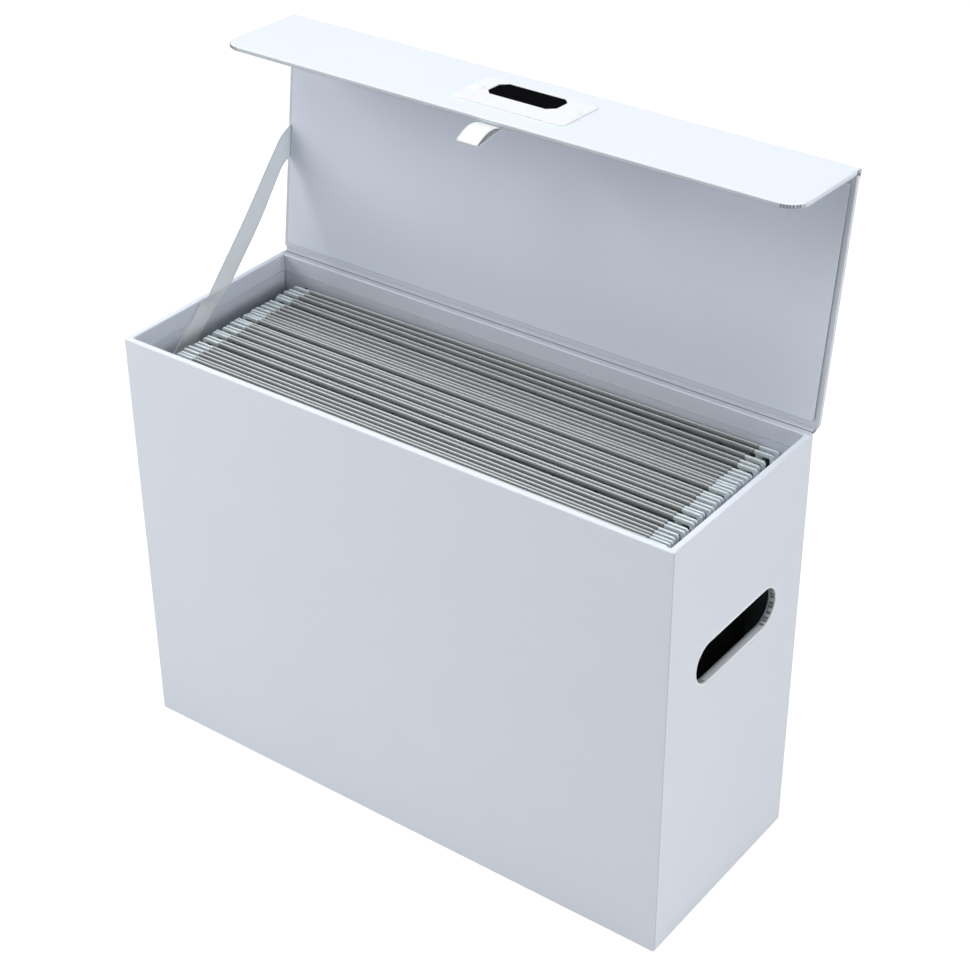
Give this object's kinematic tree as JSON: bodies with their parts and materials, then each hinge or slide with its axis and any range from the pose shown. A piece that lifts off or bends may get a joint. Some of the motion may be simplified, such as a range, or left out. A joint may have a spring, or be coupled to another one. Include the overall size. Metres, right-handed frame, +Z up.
{
  "type": "portable file box",
  "caption": "Upright paper-wrapped board file box with a hinged lid, front flap, ribbon stay, hand slots and hanging folders on rails.",
  "frame": {"origin": "middle of the box's underside, on the surface that it stands on", "axes": "+X along the front to the right, +Y to the back where the lid is hinged, +Z up"},
  "size_m": [0.357, 0.1561, 0.3965],
  "materials": {
    "cover": "matte paper wrap",
    "lining_paper": "smooth paper",
    "rail_plastic": "satin",
    "ribbon": "satin ribbon",
    "label_plate": "semi gloss",
    "label_card": "smooth",
    "folder_paper": "matte",
    "hanger_steel": "semi gloss"
  },
  "bodies": {
    "box": {"front_wall": "cover", "back_wall": "cover", "left_end_wall": "cover", "right_end_wall": "cover", "floor_board": "cover", "front_lining": "lining_paper", "back_lining": "lining_paper", "left_lining": "lining_paper", "right_lining": "lining_paper", "floor_lining": "lining_paper", "left_rail": "rail_plastic", "right_rail": "rail_plastic", "lid_crease": "cover", "ribbon_stay": "ribbon"},
    "lid": {"lid_board": "cover", "lid_liner": "lining_paper"},
    "fold": {"flap_crease": "cover"},
    "flap": {"flap_board": "cover", "flap_lining": "lining_paper", "label_plate": "label_plate", "label_card": "label_card", "label_rivets": "label_plate", "pull_tab": "ribbon"},
    "file_01": {"folder_01": "folder_paper", "hangers_01": "hanger_steel"},
    "file_02": {"folder_02": "folder_paper", "hangers_02": "hanger_steel"},
    "file_03": {"folder_03": "folder_paper", "hangers_03": "hanger_steel"},
    "file_04": {"folder_04": "folder_paper", "hangers_04": "hanger_steel"},
    "file_05": {"folder_05": "folder_paper", "hangers_05": "hanger_steel"},
    "file_06": {"folder_06": "folder_paper", "hangers_06": "hanger_steel"},
    "file_07": {"folder_07": "folder_paper", "hangers_07": "hanger_steel"},
    "file_08": {"folder_08": "folder_paper", "hangers_08": "hanger_steel"},
    "file_09": {"folder_09": "folder_paper", "hangers_09": "hanger_steel"},
    "file_10": {"folder_10": "folder_paper", "hangers_10": "hanger_steel"},
    "file_11": {"folder_11": "folder_paper", "hangers_11": "hanger_steel"},
    "file_12": {"folder_12": "folder_paper", "hangers_12": "hanger_steel"},
    "file_13": {"folder_13": "folder_paper", "hangers_13": "hanger_steel"},
    "file_14": {"folder_14": "folder_paper", "hangers_14": "hanger_steel"},
    "file_15": {"folder_15": "folder_paper", "hangers_15": "hanger_steel"},
    "file_16": {"folder_16": "folder_paper", "hangers_16": "hanger_steel"},
    "file_17": {"folder_17": "folder_paper", "hangers_17": "hanger_steel"}
  },
  "joints": [
    {"name": "lid_hinge", "type": "hinge", "parent": "box", "child": "lid", "pos_m": [0, 0.0674, 0.256], "axis": [-1, 0, 0], "range_deg": [-97.5, 0], "deforming": ["ribbon_stay"]},
    {"name": "fold_turn", "type": "hinge", "parent": "lid", "child": "fold", "pos_m": [0, 0.08808, 0.39237], "axis": [-1, 0, 0], "range_deg": [0, 5.5]},
    {"name": "flap_fold", "type": "hinge", "parent": "fold", "child": "flap", "pos_m": [0, 0.08808, 0.39237], "axis": [-1, 0, 0], "range_deg": [0, 95.5]},
    {"name": "file_01_lift", "type": "slide", "parent": "box", "child": "file_01", "axis": [0, 0, 1], "range_m": [0, 0.14]},
    {"name": "file_02_lift", "type": "slide", "parent": "box", "child": "file_02", "axis": [0, 0, 1], "range_m": [0, 0.14]},
    {"name": "file_03_lift", "type": "slide", "parent": "box", "child": "file_03", "axis": [0, 0, 1], "range_m": [0, 0.14]},
    {"name": "file_04_lift", "type": "slide", "parent": "box", "child": "file_04", "axis": [0, 0, 1], "range_m": [0, 0.14]},
    {"name": "file_05_lift", "type": "slide", "parent": "box", "child": "file_05", "axis": [0, 0, 1], "range_m": [0, 0.14]},
    {"name": "file_06_lift", "type": "slide", "parent": "box", "child": "file_06", "axis": [0, 0, 1], "range_m": [0, 0.14]},
    {"name": "file_07_lift", "type": "slide", "parent": "box", "child": "file_07", "axis": [0, 0, 1], "range_m": [0, 0.14]},
    {"name": "file_08_lift", "type": "slide", "parent": "box", "child": "file_08", "axis": [0, 0, 1], "range_m": [0, 0.25]},
    {"name": "file_09_lift", "type": "slide", "parent": "box", "child": "file_09", "axis": [0, 0, 1], "range_m": [0, 0.25]},
    {"name": "file_10_lift", "type": "slide", "parent": "box", "child": "file_10", "axis": [0, 0, 1], "range_m": [0, 0.25]},
    {"name": "file_11_lift", "type": "slide", "parent": "box", "child": "file_11", "axis": [0, 0, 1], "range_m": [0, 0.25]},
    {"name": "file_12_lift", "type": "slide", "parent": "box", "child": "file_12", "axis": [0, 0, 1], "range_m": [0, 0.25]},
    {"name": "file_13_lift", "type": "slide", "parent": "box", "child": "file_13", "axis": [0, 0, 1], "range_m": [0, 0.25]},
    {"name": "file_14_lift", "type": "slide", "parent": "box", "child": "file_14", "axis": [0, 0, 1], "range_m": [0, 0.25]},
    {"name": "file_15_lift", "type": "slide", "parent": "box", "child": "file_15", "axis": [0, 0, 1], "range_m": [0, 0.25]},
    {"name": "file_16_lift", "type": "slide", "parent": "box", "child": "file_16", "axis": [0, 0, 1], "range_m": [0, 0.25]},
    {"name": "file_17_lift", "type": "slide", "parent": "box", "child": "file_17", "axis": [0, 0, 1], "range_m": [0, 0.25]}
  ],
  "couplings": [
    {"joint": "fold_turn", "follows": "lid_hinge", "ratio": -0.05641}
  ]
}
